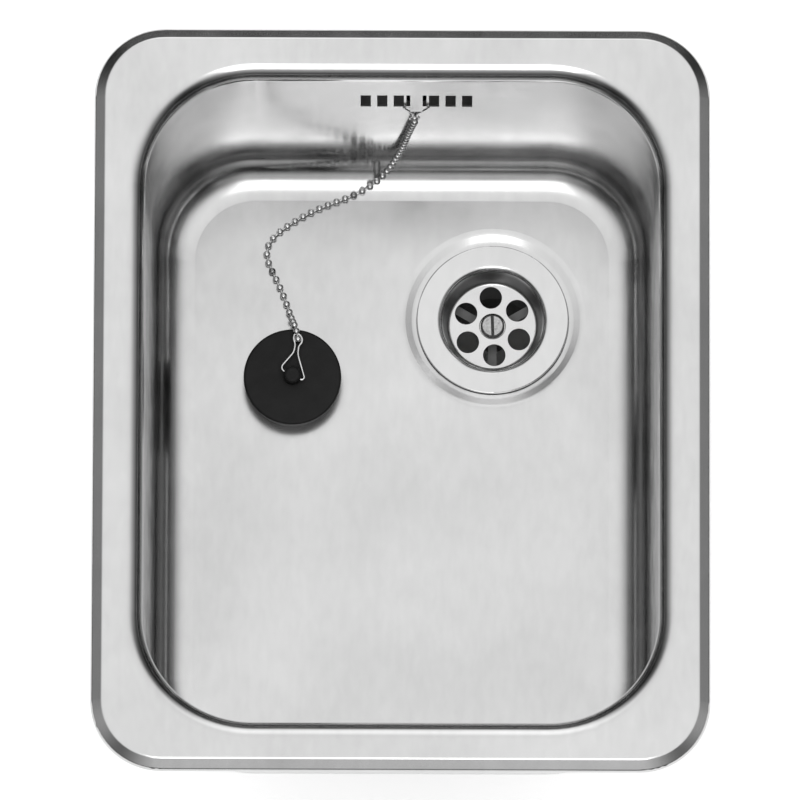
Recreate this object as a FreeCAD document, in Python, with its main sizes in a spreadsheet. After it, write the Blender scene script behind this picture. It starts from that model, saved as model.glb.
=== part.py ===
import FreeCAD, Part
import math
import os
import Sketcher
from FreeCAD import Placement, Rotation, Vector

# Small pressed steel sink bowl with a strainer waste, a slotted overflow and a rubber plug
# on a ball chain. The origin is the plan centre of the rim on the worktop's surface,
# +Z is up, +Y runs to the overflow wall and +X to the waste side.

os.makedirs("parts", exist_ok=True)
doc = FreeCAD.newDocument("kitchen_sink")
sheet = doc.addObject("Spreadsheet::Sheet", "Sizes")

driving = {
    "overall_width": 280.0,
    "overall_length": 345.0,
    "outer_corner": 32.0,
    "rim_height": 6.4,
    "bevel_run": 5.2,
    "bevel_drop": 3.4,
    "bevel_bend": 2.0,
    "rim_width": 23.0,
    "lip_gap": 0.4,
    "inner_roll": 9.0,
    "bowl_corner": 50.0,
    "bowl_depth": 150.0,
    "wall_draft": 1.9,
    "floor_fillet": 17.0,
    "sheet_gauge": 0.8,
    "seal_inset": 6.2,
    "seal_width": 6.0,
    "pad_width": 130.0,
    "pad_length": 100.0,
    "pad_gauge": 2.0,
    "pad_corner": 10.0,
    "pad_forward": 55.0,
    "waste_x": 42.0,
    "waste_y": 72.0,
    "seat_margin": 6.6,
    "recess_depth": 2.0,
    "cup_clearance": 1.7,
    "flange_gasket_width": 7.3,
    "flange_gauge": 0.9,
    "cup_mouth_radius": 24.0,
    "cup_floor_radius": 20.4,
    "cup_depth": 14.0,
    "strainer_hole_radius": 5.2,
    "strainer_circle_radius": 13.65,
    "strainer_turn": 33.5,
    "flange_gasket_gauge": 1.0,
    "body_gasket_gauge": 3.0,
    "body_gasket_width": 8.8,
    "gasket_setback": 0.5,
    "body_radius": 32.0,
    "body_wall": 3.0,
    "body_depth": 26.0,
    "outlet_radius": 23.9,
    "outlet_bore": 20.0,
    "outlet_length": 30.0,
    "funnel_height": 10.0,
    "boss_radius": 7.0,
    "boss_height": 18.0,
    "arm_width": 4.0,
    "arm_height": 8.0,
    "insert_radius": 4.6,
    "insert_length": 12.0,
    "screw_radius": 3.0,
    "screw_length": 28.0,
    "screw_head_radius": 5.5,
    "screw_head_height": 3.2,
    "spigot_radius": 8.0,
    "spigot_wall": 1.4,
    "spigot_length": 18.0,
    "spigot_drop": 14.0,
    "overflow_x": 6.4,
    "overflow_drop": 40.4,
    "slot_width": 4.7,
    "slot_height": 18.4,
    "slot_pitch": 7.55,
    "slot_start": 8.05,
    "slit_width": 1.8,
    "bridge_width": 5.6,
    "bridge_stand": 2.8,
    "box_width": 70.0,
    "box_depth": 20.0,
    "box_height": 38.0,
    "box_shoulder": 10.0,
    "box_gauge": 1.2,
    "box_flange": 6.0,
    "stub_offset": 11.4,
    "stub_length": 20.0,
    "pipe_wall": 2.0,
    "pipe_bend": 30.0,
    "clip_band": 1.0,
    "clip_band_width": 8.0,
    "clamp_spread": 85.0,
    "clamp_reach": 5.6,
    "bracket_gauge": 1.5,
    "bracket_width": 18.0,
    "bracket_top": 4.0,
    "bracket_drop": 24.0,
    "claw_gauge": 2.0,
    "claw_width": 14.0,
    "claw_drop": 56.0,
    "claw_toe": 10.0,
    "clamp_screw_radius": 2.5,
    "clamp_screw_length": 40.0,
    "clamp_head_radius": 4.5,
    "clamp_head_height": 3.0,
    "plug_x": -50.2,
    "plug_y": 41.8,
    "plug_radius": 22.7,
    "plug_foot_radius": 20.8,
    "plug_height": 12.0,
    "lug_radius": 4.1,
    "lug_height": 5.0,
    "lug_turn": -27.0,
    "pivot_height": 2.2,
    "wire_radius": 0.5,
    "wire_length": 16.5,
    "wire_eye": 2.1,
    "plug_clip_skew": -0.34,
    "wall_clip_skew": -0.05,
    "wall_clip_lean": 4.0,
    "chain_radius": 1.65,
}
for row, alias in enumerate(driving, start=1):
    sheet.set("A%d" % row, alias)
    sheet.set("B%d" % row, str(driving[alias]))
    sheet.setAlias("B%d" % row, alias)
doc.recompute()


class Dim:
    """A size: its number in mm and the sheet formula that gives it."""

    def __init__(self, number, text):
        self.number = number
        self.text = text

    def __add__(self, other):
        other = dim(other)
        return Dim(self.number + other.number, "(%s + %s)" % (self.text, other.text))

    def __sub__(self, other):
        other = dim(other)
        return Dim(self.number - other.number, "(%s - %s)" % (self.text, other.text))

    def __mul__(self, other):
        other = dim(other)
        return Dim(self.number * other.number, "(%s * %s)" % (self.text, other.text))

    def __truediv__(self, other):
        other = dim(other)
        return Dim(self.number / other.number, "(%s / %s)" % (self.text, other.text))

    def __neg__(self):
        return Dim(-self.number, "(0 - %s)" % self.text)


def dim(value):
    if isinstance(value, Dim):
        return value
    return Dim(float(value), "%.6f" % value)


def cell(alias):
    return Dim(float(sheet.get(alias)), "Sizes." + alias)


def tangent(angle):
    return Dim(math.tan(math.radians(angle.number)), "tan(%s)" % angle.text)


def cosine(angle):
    return Dim(math.cos(math.radians(angle.number)), "cos(%s)" % angle.text)


def bind(thing, prop, value):
    thing.setExpression(prop, dim(value).text)


def place(thing, x, y, z):
    bind(thing, "Placement.Base.x", x)
    bind(thing, "Placement.Base.y", y)
    bind(thing, "Placement.Base.z", z)


def new_body(name):
    body = doc.addObject("PartDesign::Body", name)
    body.Label = name
    return body


def new_sketch(body, name, role, along=0.0, across=0.0, up=0.0):
    """A sketch on one of the body's origin planes, shifted along its normal and in its plane."""
    made = body.newObject("Sketcher::SketchObject", name)
    for feature in body.Origin.OriginFeatures:
        if feature.Role == role:
            made.AttachmentSupport = (feature, [""])
    made.MapMode = "FlatFace"
    bind(made, "AttachmentOffset.Base.x", across)
    bind(made, "AttachmentOffset.Base.y", up)
    bind(made, "AttachmentOffset.Base.z", along)
    return made


def hold(sk, geometry, position, x, y):
    """Fix one point of the sketch at a bound distance from the sketch's origin."""
    across = sk.addConstraint(Sketcher.Constraint("DistanceX", -1, 1, geometry, position, dim(x).number))
    sk.setExpression("Constraints[%d]" % across, dim(x).text)
    up = sk.addConstraint(Sketcher.Constraint("DistanceY", -1, 1, geometry, position, dim(y).number))
    sk.setExpression("Constraints[%d]" % up, dim(y).text)


def polygon(sk, points):
    flat = [Vector(dim(x).number, dim(y).number, 0) for x, y in points]
    count = len(points)
    lines = []
    for i in range(count):
        lines.append(sk.addGeometry(Part.LineSegment(flat[i], flat[(i + 1) % count]), False))
    for i in range(count):
        sk.addConstraint(Sketcher.Constraint("Coincident", lines[i], 2, lines[(i + 1) % count], 1))
    for i in range(count):
        hold(sk, lines[i], 1, points[i][0], points[i][1])


def rectangle(sk, x_low, x_high, y_low, y_high):
    polygon(sk, [(x_low, y_low), (x_high, y_low), (x_high, y_high), (x_low, y_high)])


def circle(sk, x, y, radius):
    centre = Vector(dim(x).number, dim(y).number, 0)
    ring = sk.addGeometry(Part.Circle(centre, Vector(0, 0, 1), dim(radius).number), False)
    hold(sk, ring, 3, x, y)
    held = sk.addConstraint(Sketcher.Constraint("Radius", ring, dim(radius).number))
    sk.setExpression("Constraints[%d]" % held, dim(radius).text)


def rounded_rectangle(sk, width, length, corner, x=0.0, y=0.0):
    """Four corner arcs held by centre and radius, joined by lines tangent to both ends."""
    half_x = dim(width) / 2 - corner
    half_y = dim(length) / 2 - corner
    radius = dim(corner)
    signs = ((1, 1), (-1, 1), (-1, -1), (1, -1))
    arcs = []
    for i, (sx, sy) in enumerate(signs):
        middle = Vector(dim(x).number + sx * half_x.number, dim(y).number + sy * half_y.number, 0)
        ring = Part.Circle(middle, Vector(0, 0, 1), radius.number)
        start = math.radians(90 * i)
        arcs.append(sk.addGeometry(Part.ArcOfCircle(ring, start, start + math.pi / 2), False))
    lines = []
    for i in range(4):
        begin = sk.Geometry[arcs[i]].EndPoint
        finish = sk.Geometry[arcs[(i + 1) % 4]].StartPoint
        lines.append(sk.addGeometry(Part.LineSegment(begin, finish), False))
    for i in range(4):
        sk.addConstraint(Sketcher.Constraint("Tangent", arcs[i], 2, lines[i], 1))
        sk.addConstraint(Sketcher.Constraint("Tangent", lines[i], 2, arcs[(i + 1) % 4], 1))
    for i, (sx, sy) in enumerate(signs):
        hold(sk, arcs[i], 3, dim(x) + half_x * sx, dim(y) + half_y * sy)
        held = sk.addConstraint(Sketcher.Constraint("Radius", arcs[i], radius.number))
        sk.setExpression("Constraints[%d]" % held, radius.text)


def pad(body, name, sk, length, backward=False, symmetric=False):
    made = body.newObject("PartDesign::Pad", name)
    made.Profile = sk
    made.Reversed = backward
    if symmetric:
        made.SideType = "Symmetric"
    bind(made, "Length", length)
    doc.recompute()
    return made


def pocket(body, name, sk, length, backward=False, symmetric=False, taper=None):
    before = body.Shape.Volume
    made = body.newObject("PartDesign::Pocket", name)
    made.Profile = sk
    made.Reversed = backward
    if symmetric:
        made.SideType = "Symmetric"
    bind(made, "Length", length)
    if taper is not None:
        bind(made, "TaperAngle", taper)
    doc.recompute()
    if not made.Shape.Volume < before:
        raise RuntimeError(name + " cuts nothing")
    return made


def revolve(body, name, sk):
    made = body.newObject("PartDesign::Revolution", name)
    made.Profile = sk
    made.ReferenceAxis = (sk, ["V_Axis"])
    made.Angle = 360.0
    doc.recompute()
    return made


def fillet(body, name, base, chosen, radius):
    names = []
    for i, edge in enumerate(base.Shape.Edges, start=1):
        if chosen(edge):
            names.append("Edge%d" % i)
    made = body.newObject("PartDesign::Fillet", name)
    made.Base = (base, names)
    bind(made, "Radius", radius)
    doc.recompute()
    return made


def polar(body, name, original, count):
    made = body.newObject("PartDesign::PolarPattern", name)
    made.Originals = [original]
    for feature in body.Origin.OriginFeatures:
        if feature.Role == "Z_Axis":
            made.Axis = (feature, [""])
    made.Angle = 360.0
    made.Occurrences = count
    body.Tip = made
    doc.recompute()
    return made


def level(edge, z):
    """True where the whole edge lies at height z."""
    box = edge.BoundBox
    return abs(box.ZMin - z) < 0.01 and abs(box.ZMax - z) < 0.01


def ring_edge(edge, radius, z):
    """True for a circular edge of this radius at this height."""
    curve = edge.Curve
    return curve.TypeId == "Part::GeomCircle" and abs(curve.Radius - radius) < 0.02 and level(edge, z)


def ring(name, inner, outer, low, height, x, y):
    """A flat washer made of two coaxial cylinders."""
    solid = doc.addObject("Part::Cylinder", name + "_disc")
    bind(solid, "Radius", outer)
    bind(solid, "Height", height)
    place(solid, x, y, low)
    bore = doc.addObject("Part::Cylinder", name + "_bore")
    bind(bore, "Radius", inner)
    bind(bore, "Height", dim(height) + 2)
    place(bore, x, y, dim(low) - 1)
    made = doc.addObject("Part::Cut", name)
    made.Base = solid
    made.Tool = bore
    made.Label = name
    return made


def rounded_route(points):
    """Straight runs joined by tangent arcs, each arc as large as its two runs allow."""
    corners = [Vector(*p) for p in points]
    edges = []
    radii = []
    last = corners[0]
    for i in range(1, len(corners) - 1):
        into = corners[i] - corners[i - 1]
        out = corners[i + 1] - corners[i]
        turn = into.getAngle(out)
        cut = 0.45 * min(into.Length, out.Length)
        radii.append(cut / math.tan(turn / 2))
        begin = corners[i] - into.normalize() * cut
        finish = corners[i] + out.normalize() * cut
        inward = (out - into).normalize()
        rise = radii[-1] / math.cos(turn / 2) - radii[-1]
        edges.append(Part.LineSegment(last, begin).toShape())
        edges.append(Part.Arc(begin, corners[i] + inward * rise, finish).toShape())
        last = finish
    edges.append(Part.LineSegment(last, corners[-1]).toShape())
    return Part.Wire(edges), radii


def tube(points, radius):
    """A round bar along a rounded route, with its volume held against section times length."""
    route, radii = rounded_route(points)
    start = Vector(*points[0])
    heading = Vector(*points[1]) - start
    section = Part.Wire([Part.Circle(start, heading, radius).toShape()])
    solid = route.makePipeShell([section], True, False)
    share = solid.Volume / (math.pi * radius * radius * route.Length)
    print("route", round(route.Length, 1), "mm, least radius", round(min(radii), 1), "volume share", round(share, 4))
    return solid


def wire_clip(skew):
    """A bent spring wire in its own plane: two pins on the X axis, two legs, a neck and an eye at +Y."""
    base = cell("lug_radius").number + 2.7
    reach = cell("wire_length").number
    eye = cell("wire_eye").number
    half = [
        (0.9, 0.0),
        (base, 0.0),
        (1.0, 0.61 * reach),
        (0.9, 0.83 * reach),
        (eye * 1.02, reach - 0.42 * eye),
        (eye * 1.02, reach + 0.46 * eye),
        (eye * 0.44, reach + eye),
    ]
    flat = [(-x, y) for x, y in half] + [(x, y) for x, y in reversed(half)]
    return tube([(x + skew * y, y, 0.0) for x, y in flat], cell("wire_radius").number)


top = cell("rim_height")
gauge = cell("sheet_gauge")
draft = cell("wall_draft")
opening_width = cell("overall_width") - cell("rim_width") * 2
opening_length = cell("overall_length") - cell("rim_width") * 2
floor = top - cell("bowl_depth")
waste_hole = cell("cup_mouth_radius") + cell("cup_clearance")
flange_gasket_inner = waste_hole + 1.5
flange_gasket_outer = flange_gasket_inner + cell("flange_gasket_width")
flange_radius = flange_gasket_outer + cell("gasket_setback")
recess_radius = flange_radius + cell("seat_margin")
body_gasket_inner = waste_hole + 1
body_gasket_outer = body_gasket_inner + cell("body_gasket_width")
body_flange = body_gasket_outer + cell("gasket_setback")
spigot_reach = body_flange + cell("spigot_length")
slope = tangent(draft)
skin = gauge / cosine(draft)


def side_face(z):
    """X of the outer face of the right-hand wall at height z."""
    return opening_width / 2 + skin - (top - z) * slope


def back_face(z):
    """Y of the inner face of the overflow wall at height z."""
    return opening_length / 2 - (top - z) * slope


# Bowl: one steel pressing with a rolled rim, drafted walls and a dished seat for the waste.
bowl = new_body("bowl")
block_low = floor - 12
block_sketch = new_sketch(bowl, "bowl_block_plan", "XY_Plane", block_low)
rounded_rectangle(block_sketch, cell("overall_width"), cell("overall_length"), cell("outer_corner"))
pad(bowl, "bowl_block", block_sketch, top - block_low)
hollow_sketch = new_sketch(bowl, "bowl_mouth_plan", "XY_Plane", top)
rounded_rectangle(hollow_sketch, opening_width, opening_length, cell("bowl_corner"))
hollow = pocket(bowl, "bowl_hollow", hollow_sketch, cell("bowl_depth"), taper=-draft)
bottom = fillet(bowl, "bowl_floor_round", hollow, lambda e: level(e, floor.number), cell("floor_fillet"))


def mouth_edge(edge):
    middle = edge.CenterOfMass
    return level(edge, top.number) and abs(middle.x) < opening_width.number / 2 + 0.1 and (
        abs(middle.y) < opening_length.number / 2 + 0.1
    )


inner_round = fillet(bowl, "bowl_mouth_roll", bottom, mouth_edge, cell("inner_roll"))
flat_x = opening_width.number / 2 + cell("inner_roll").number
flat_y = opening_length.number / 2 + cell("inner_roll").number


def rim_edge(edge):
    box = edge.BoundBox
    far = max(abs(box.XMin), abs(box.XMax)) > flat_x + 1 or max(abs(box.YMin), abs(box.YMax)) > flat_y + 1
    return level(edge, top.number) and far


bevel = bowl.newObject("PartDesign::Chamfer", "bowl_rim_bevel")
bevel.Base = (inner_round, ["Edge%d" % i for i, e in enumerate(inner_round.Shape.Edges, start=1) if rim_edge(e)])
bevel.ChamferType = "Two distances"
bind(bevel, "Size", cell("bevel_run"))
bind(bevel, "Size2", cell("bevel_drop"))
doc.recompute()
bevel_low = (top - cell("bevel_drop")).number
rim_round = fillet(
    bowl,
    "bowl_rim_bend",
    bevel,
    lambda e: (rim_edge(e) or level(e, bevel_low)) and e.BoundBox.ZMin > 0,
    cell("bevel_bend"),
)
under = [
    "Face%d" % i
    for i, face in enumerate(rim_round.Shape.Faces, start=1)
    if abs(face.CenterOfMass.z - block_low.number) < 0.01
]
shell = bowl.newObject("PartDesign::Thickness", "bowl_sheet")
shell.Base = (rim_round, under)
shell.Reversed = True
bind(shell, "Value", gauge)
doc.recompute()
skirt_sketch = new_sketch(bowl, "bowl_skirt_plan", "XY_Plane", cell("lip_gap"))
rounded_rectangle(skirt_sketch, cell("overall_width") + 20, cell("overall_length") + 20, cell("outer_corner") + 10)
rounded_rectangle(
    skirt_sketch,
    cell("overall_width") - cell("rim_width"),
    cell("overall_length") - cell("rim_width"),
    cell("outer_corner"),
)
pocket(bowl, "bowl_skirt_trim", skirt_sketch, cell("bowl_depth") + 30)

seat = floor - cell("recess_depth")
disc_sketch = new_sketch(bowl, "waste_seat_blank", "XY_Plane", floor + 1)
circle(disc_sketch, cell("waste_x"), cell("waste_y"), recess_radius + 2)
pocket(bowl, "waste_seat_cut", disc_sketch, gauge + 2)
dish_sketch = new_sketch(bowl, "waste_seat_section", "XZ_Plane", -cell("waste_y"), cell("waste_x"))
dish_run = cell("recess_depth") * 2.75
dish_foot = recess_radius - dish_run
polygon(
    dish_sketch,
    [
        (recess_radius + 2.2, floor),
        (recess_radius, floor),
        (dish_foot, seat),
        (waste_hole, seat),
        (waste_hole, seat - gauge),
        (dish_foot + gauge * 0.18, seat - gauge),
        (recess_radius + gauge * 0.18, floor - gauge),
        (recess_radius + 2.2, floor - gauge),
    ],
)
dish = revolve(bowl, "waste_seat", dish_sketch)
fillet(
    bowl,
    "waste_seat_round",
    dish,
    lambda e: ring_edge(e, recess_radius.number, floor.number) or ring_edge(e, dish_foot.number, seat.number),
    cell("recess_depth") * 4,
)

slot_middle = top - cell("overflow_drop")
slot_low = slot_middle - cell("slot_height") / 2
slot_high = slot_middle + cell("slot_height") / 2
wall_middle = back_face(slot_middle)
slot_sketch = new_sketch(bowl, "overflow_slots_plan", "XZ_Plane", -(wall_middle - 12), cell("overflow_x"))
for side in (-1, 1):
    for i in range(3):
        middle = (cell("slot_start") + cell("slot_pitch") * i) * side
        half = cell("slot_width") / 2
        rectangle(slot_sketch, middle - half, middle + half, slot_low, slot_high)
bridge_half = cell("bridge_width") / 2
window_half = bridge_half + cell("slit_width")
rectangle(slot_sketch, -window_half, window_half, slot_low, slot_high)
pocket(bowl, "overflow_slots", slot_sketch, 24)
bridge_sketch = new_sketch(bowl, "chain_bridge_section", "YZ_Plane", cell("overflow_x"))
stand = cell("bridge_stand")
bridge_foot_low = slot_low - 0.6
bridge_foot_high = slot_high + 0.6
bridge_low = slot_low + 1.6
bridge_high = slot_low + 3.2
polygon(
    bridge_sketch,
    [
        (back_face(bridge_foot_high), bridge_foot_high),
        (back_face(slot_high), slot_high),
        (back_face(bridge_high) - stand, bridge_high),
        (back_face(bridge_low) - stand, bridge_low),
        (back_face(slot_low), slot_low),
        (back_face(bridge_foot_low), bridge_foot_low),
        (back_face(bridge_foot_low) + gauge * 0.9, bridge_foot_low),
        (back_face(slot_low) + gauge * 0.9, slot_low + 0.3),
        (back_face(bridge_low) - stand + gauge, bridge_low + 0.3),
        (back_face(bridge_high) - stand + gauge, bridge_high - 0.3),
        (back_face(slot_high) + gauge * 0.9, slot_high - 0.3),
        (back_face(bridge_foot_high) + gauge * 0.9, bridge_foot_high),
    ],
)
pad(bowl, "chain_bridge", bridge_sketch, cell("bridge_width"), symmetric=True)

# Rim seal: a foam strip under the flat of the rim, its underside on the worktop.
seal = new_body("rim_seal")
seal_sketch = new_sketch(seal, "seal_plan", "XY_Plane")
inset = cell("seal_inset")
rounded_rectangle(
    seal_sketch,
    cell("overall_width") - inset * 2,
    cell("overall_length") - inset * 2,
    cell("outer_corner") - inset,
)
inset = inset + cell("seal_width")
rounded_rectangle(
    seal_sketch,
    cell("overall_width") - inset * 2,
    cell("overall_length") - inset * 2,
    cell("outer_corner") - inset,
)
pad(seal, "seal_strip", seal_sketch, top - gauge)

# Sound pad: a bitumen patch stuck under the floor, in front of the waste.
damper = new_body("sound_pad")
damper_sketch = new_sketch(damper, "sound_pad_plan", "XY_Plane", floor - gauge)
rounded_rectangle(damper_sketch, cell("pad_width"), cell("pad_length"), cell("pad_corner"), 0.0, -cell("pad_forward"))
pad(damper, "sound_pad_sheet", damper_sketch, cell("pad_gauge"), backward=True)

# Strainer: a pressed flange and cup that drop into the seat from above.
flange_top = seat + cell("flange_gasket_gauge") + cell("flange_gauge")
flange_under = flange_top - cell("flange_gauge")
mouth = cell("cup_mouth_radius")
cup = cell("cup_floor_radius")
metal = cell("flange_gauge")
grid = flange_top - cell("cup_depth")
head_seat = grid - 1.5
dish_in = cell("screw_head_radius") + 0.35
strainer = new_body("strainer")
place(strainer, cell("waste_x"), cell("waste_y"), 0.0)
strainer_sketch = new_sketch(strainer, "strainer_section", "XZ_Plane")
polygon(
    strainer_sketch,
    [
        (flange_radius, flange_under),
        (flange_radius, flange_top),
        (mouth, flange_top),
        (cup, grid),
        (dish_in + 0.3, grid),
        (dish_in, head_seat),
        (cell("screw_radius") + 0.3, head_seat),
        (cell("screw_radius") + 0.3, head_seat - metal),
        (dish_in + metal * 0.9, head_seat - metal),
        (dish_in + 0.3 + metal * 0.9, grid - metal),
        (cup + metal * 0.8, grid - metal),
        (mouth + metal * 0.8, flange_under),
    ],
)
pressed = revolve(strainer, "strainer_pressing", strainer_sketch)
pressed = fillet(
    strainer, "strainer_mouth", pressed, lambda e: ring_edge(e, mouth.number, flange_top.number), 2.8
)
pressed = fillet(
    strainer,
    "strainer_mouth_under",
    pressed,
    lambda e: ring_edge(e, (mouth + metal * 0.8).number, flange_under.number),
    2.0,
)
pressed = fillet(strainer, "strainer_cup_foot", pressed, lambda e: ring_edge(e, cup.number, grid.number), 1.4)
pressed = fillet(
    strainer,
    "strainer_edge",
    pressed,
    lambda e: ring_edge(e, flange_radius.number, flange_top.number),
    0.5,
)
drain_sketch = new_sketch(strainer, "strainer_hole_plan", "XY_Plane", grid + 1)
turn = cell("strainer_turn").number
hole_x = cell("strainer_circle_radius") * math.cos(math.radians(turn))
hole_y = cell("strainer_circle_radius") * math.sin(math.radians(turn))
circle(drain_sketch, hole_x, hole_y, cell("strainer_hole_radius"))
drain = pocket(strainer, "strainer_hole", drain_sketch, 4)
polar(strainer, "strainer_holes", drain, 6)

# The two waste washers: a thin one under the flange and a thick one under the bowl.
ring(
    "flange_gasket",
    flange_gasket_inner,
    flange_gasket_outer,
    seat,
    cell("flange_gasket_gauge"),
    cell("waste_x"),
    cell("waste_y"),
)
body_top = seat - gauge - cell("body_gasket_gauge")
ring(
    "body_gasket",
    body_gasket_inner,
    body_gasket_outer,
    body_top,
    cell("body_gasket_gauge"),
    cell("waste_x"),
    cell("waste_y"),
)

# Overflow box: a pressed hood welded behind the slots, with a stub for the pipe.
box_high = slot_high + 5
box_low = box_high - cell("box_height")
box_shoulder = box_low + cell("box_shoulder")
hood_gauge = cell("box_gauge")
hood = new_body("overflow_box")
hood_sketch = new_sketch(hood, "hood_section", "YZ_Plane", cell("overflow_x"))
outer_wall = back_face(box_low) + skin + cell("box_depth")
polygon(
    hood_sketch,
    [
        (back_face(box_high) + skin, box_high),
        (back_face(box_high) + skin + 2.5, box_high),
        (outer_wall, box_shoulder),
        (outer_wall, box_low),
        (back_face(box_low) + skin, box_low),
    ],
)
hood_block = pad(hood, "hood_block", hood_sketch, cell("box_width"), symmetric=True)


def off_the_wall(edge):
    """True for an edge of the hood that nowhere touches the bowl's back wall, below the top ledge."""
    clear = min(v.Y - back_face(v.Z).number - skin.number for v in edge.Vertexes)
    return clear > 1.0 and not level(edge, box_high.number)


fillet(hood, "hood_pressed_edges", hood_block, off_the_wall, 2.0)
hood_flange = new_sketch(hood, "hood_flange_section", "YZ_Plane", cell("overflow_x"))
flange_high = box_high + cell("box_flange")
polygon(
    hood_flange,
    [
        (back_face(flange_high) + skin, flange_high),
        (back_face(flange_high) + skin + hood_gauge, flange_high),
        (back_face(box_low) + skin + hood_gauge, box_low),
        (back_face(box_low) + skin, box_low),
    ],
)
pad(hood, "hood_flange", hood_flange, cell("box_width") + cell("box_flange") * 2, symmetric=True)
hood_hollow = new_sketch(hood, "hood_hollow_section", "YZ_Plane", cell("overflow_x"))
polygon(
    hood_hollow,
    [
        (back_face(box_high) - 5, box_high - hood_gauge),
        (back_face(box_high) + skin + 1.0, box_high - hood_gauge),
        (outer_wall - hood_gauge, box_shoulder - hood_gauge * 0.6),
        (outer_wall - hood_gauge, box_low + hood_gauge),
        (back_face(box_low) - 5, box_low + hood_gauge),
    ],
)
pocket(hood, "hood_hollow", hood_hollow, cell("box_width") - hood_gauge * 2, symmetric=True)
stub_y = back_face(box_low) + skin + cell("stub_offset")
stub_sketch = new_sketch(hood, "hood_stub_plan", "XY_Plane", box_low)
circle(stub_sketch, cell("overflow_x"), stub_y, cell("spigot_radius"))
pad(hood, "hood_stub", stub_sketch, cell("stub_length"), backward=True)
stub_bore = new_sketch(hood, "hood_stub_bore_plan", "XY_Plane", box_low + hood_gauge + 1)
circle(stub_bore, cell("overflow_x"), stub_y, cell("spigot_radius") - cell("spigot_wall"))
pocket(hood, "hood_stub_bore", stub_bore, cell("stub_length") + hood_gauge + 2)

# Waste body: a moulded cup with three arms, a boss for the screw, a threaded outlet and an
# overflow spigot that points at the stub of the overflow box. Its own +X is the spigot.
stub_east = cell("overflow_x").number - cell("waste_x").number
stub_north = stub_y.number - cell("waste_y").number
spigot_angle = math.degrees(math.atan2(stub_north, stub_east))
stub_distance = math.hypot(stub_east, stub_north)
moulding = new_body("waste_body")
moulding.Placement = Placement(Vector(0, 0, 0), Rotation(Vector(0, 0, 1), spigot_angle))
place(moulding, cell("waste_x"), cell("waste_y"), 0.0)
wall = cell("body_wall")
cup_low = body_top - cell("body_depth")
funnel_low = cup_low - cell("funnel_height")
outlet_low = funnel_low - cell("outlet_length")
moulding_sketch = new_sketch(moulding, "moulding_section", "XZ_Plane")
polygon(
    moulding_sketch,
    [
        (cell("body_radius") - wall, body_top),
        (body_flange, body_top),
        (body_flange, body_top - 4),
        (cell("body_radius"), body_top - 4),
        (cell("body_radius"), cup_low),
        (cell("outlet_radius"), funnel_low),
        (cell("outlet_radius"), outlet_low),
        (cell("outlet_bore"), outlet_low),
        (cell("outlet_bore"), funnel_low - 1),
        (cell("body_radius") - wall, cup_low - 1),
    ],
)
revolve(moulding, "moulding_cup", moulding_sketch)
spigot_z = body_top - cell("spigot_drop")
spigot_sketch = new_sketch(moulding, "spigot_plan", "YZ_Plane", cell("body_radius") - wall + 0.6)
circle(spigot_sketch, 0.0, spigot_z, cell("spigot_radius"))
pad(moulding, "spigot", spigot_sketch, spigot_reach - cell("body_radius") + wall - 0.6)
spigot_bore = new_sketch(moulding, "spigot_bore_plan", "YZ_Plane", spigot_reach + 1)
circle(spigot_bore, 0.0, spigot_z, cell("spigot_radius") - cell("spigot_wall"))
pocket(moulding, "spigot_bore", spigot_bore, spigot_reach + 1 - cell("body_radius") + wall + 4)
boss_top = body_top - 13
boss_sketch = new_sketch(moulding, "boss_plan", "XY_Plane", boss_top)
circle(boss_sketch, 0.0, 0.0, cell("boss_radius"))
pad(moulding, "boss", boss_sketch, cell("boss_height"), backward=True)
arm_sketch = new_sketch(moulding, "arm_plan", "XY_Plane", boss_top - 3)
arm_sketch.AttachmentOffset = Placement(Vector(0, 0, 0), Rotation(Vector(0, 0, 1), 30.0 - spigot_angle))
bind(arm_sketch, "AttachmentOffset.Base.z", boss_top - 3)
arm_half = cell("arm_width") / 2
rectangle(arm_sketch, cell("boss_radius") - 2, cell("body_radius") - wall / 2, -arm_half, arm_half)
arm = pad(moulding, "arm", arm_sketch, cell("arm_height"), backward=True)
polar(moulding, "arms", arm, 3)
bore_sketch = new_sketch(moulding, "boss_bore_plan", "XY_Plane", boss_top + 1)
circle(bore_sketch, 0.0, 0.0, cell("insert_radius") + 0.05)
pocket(moulding, "boss_bore", bore_sketch, cell("insert_length") + 1)
clear_sketch = new_sketch(moulding, "boss_through_plan", "XY_Plane", boss_top)
circle(clear_sketch, 0.0, 0.0, cell("screw_radius") + 0.3)
pocket(moulding, "boss_through", clear_sketch, cell("boss_height") + 1)

# Brass insert in the boss, and the slotted screw that pulls the strainer down on its seat.
ring(
    "screw_insert",
    cell("screw_radius") + 0.05,
    cell("insert_radius"),
    boss_top - cell("insert_length"),
    cell("insert_length"),
    cell("waste_x"),
    cell("waste_y"),
)
waste_screw = new_body("waste_screw")
waste_screw.Placement = Placement(Vector(0, 0, 0), Rotation(Vector(0, 0, 1), 2.0))
place(waste_screw, cell("waste_x"), cell("waste_y"), 0.0)
screw_sketch = new_sketch(waste_screw, "screw_section", "XZ_Plane")
head_top = head_seat + cell("screw_head_height")
shank_low = head_seat - cell("screw_length")
polygon(
    screw_sketch,
    [
        (0.0, shank_low),
        (cell("screw_radius") - 0.6, shank_low),
        (cell("screw_radius"), shank_low + 0.8),
        (cell("screw_radius"), head_seat),
        (cell("screw_head_radius"), head_seat),
        (cell("screw_head_radius"), head_top - 0.9),
        (cell("screw_head_radius") - 0.9, head_top),
        (0.0, head_top),
    ],
)
revolve(waste_screw, "screw_turned", screw_sketch)
slot_cut = new_sketch(waste_screw, "screw_slot_plan", "XY_Plane", head_top + 1)
rectangle(slot_cut, -0.7, 0.7, -cell("screw_head_radius") - 1, cell("screw_head_radius") + 1)
pocket(waste_screw, "screw_slot", slot_cut, 2.6)

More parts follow.
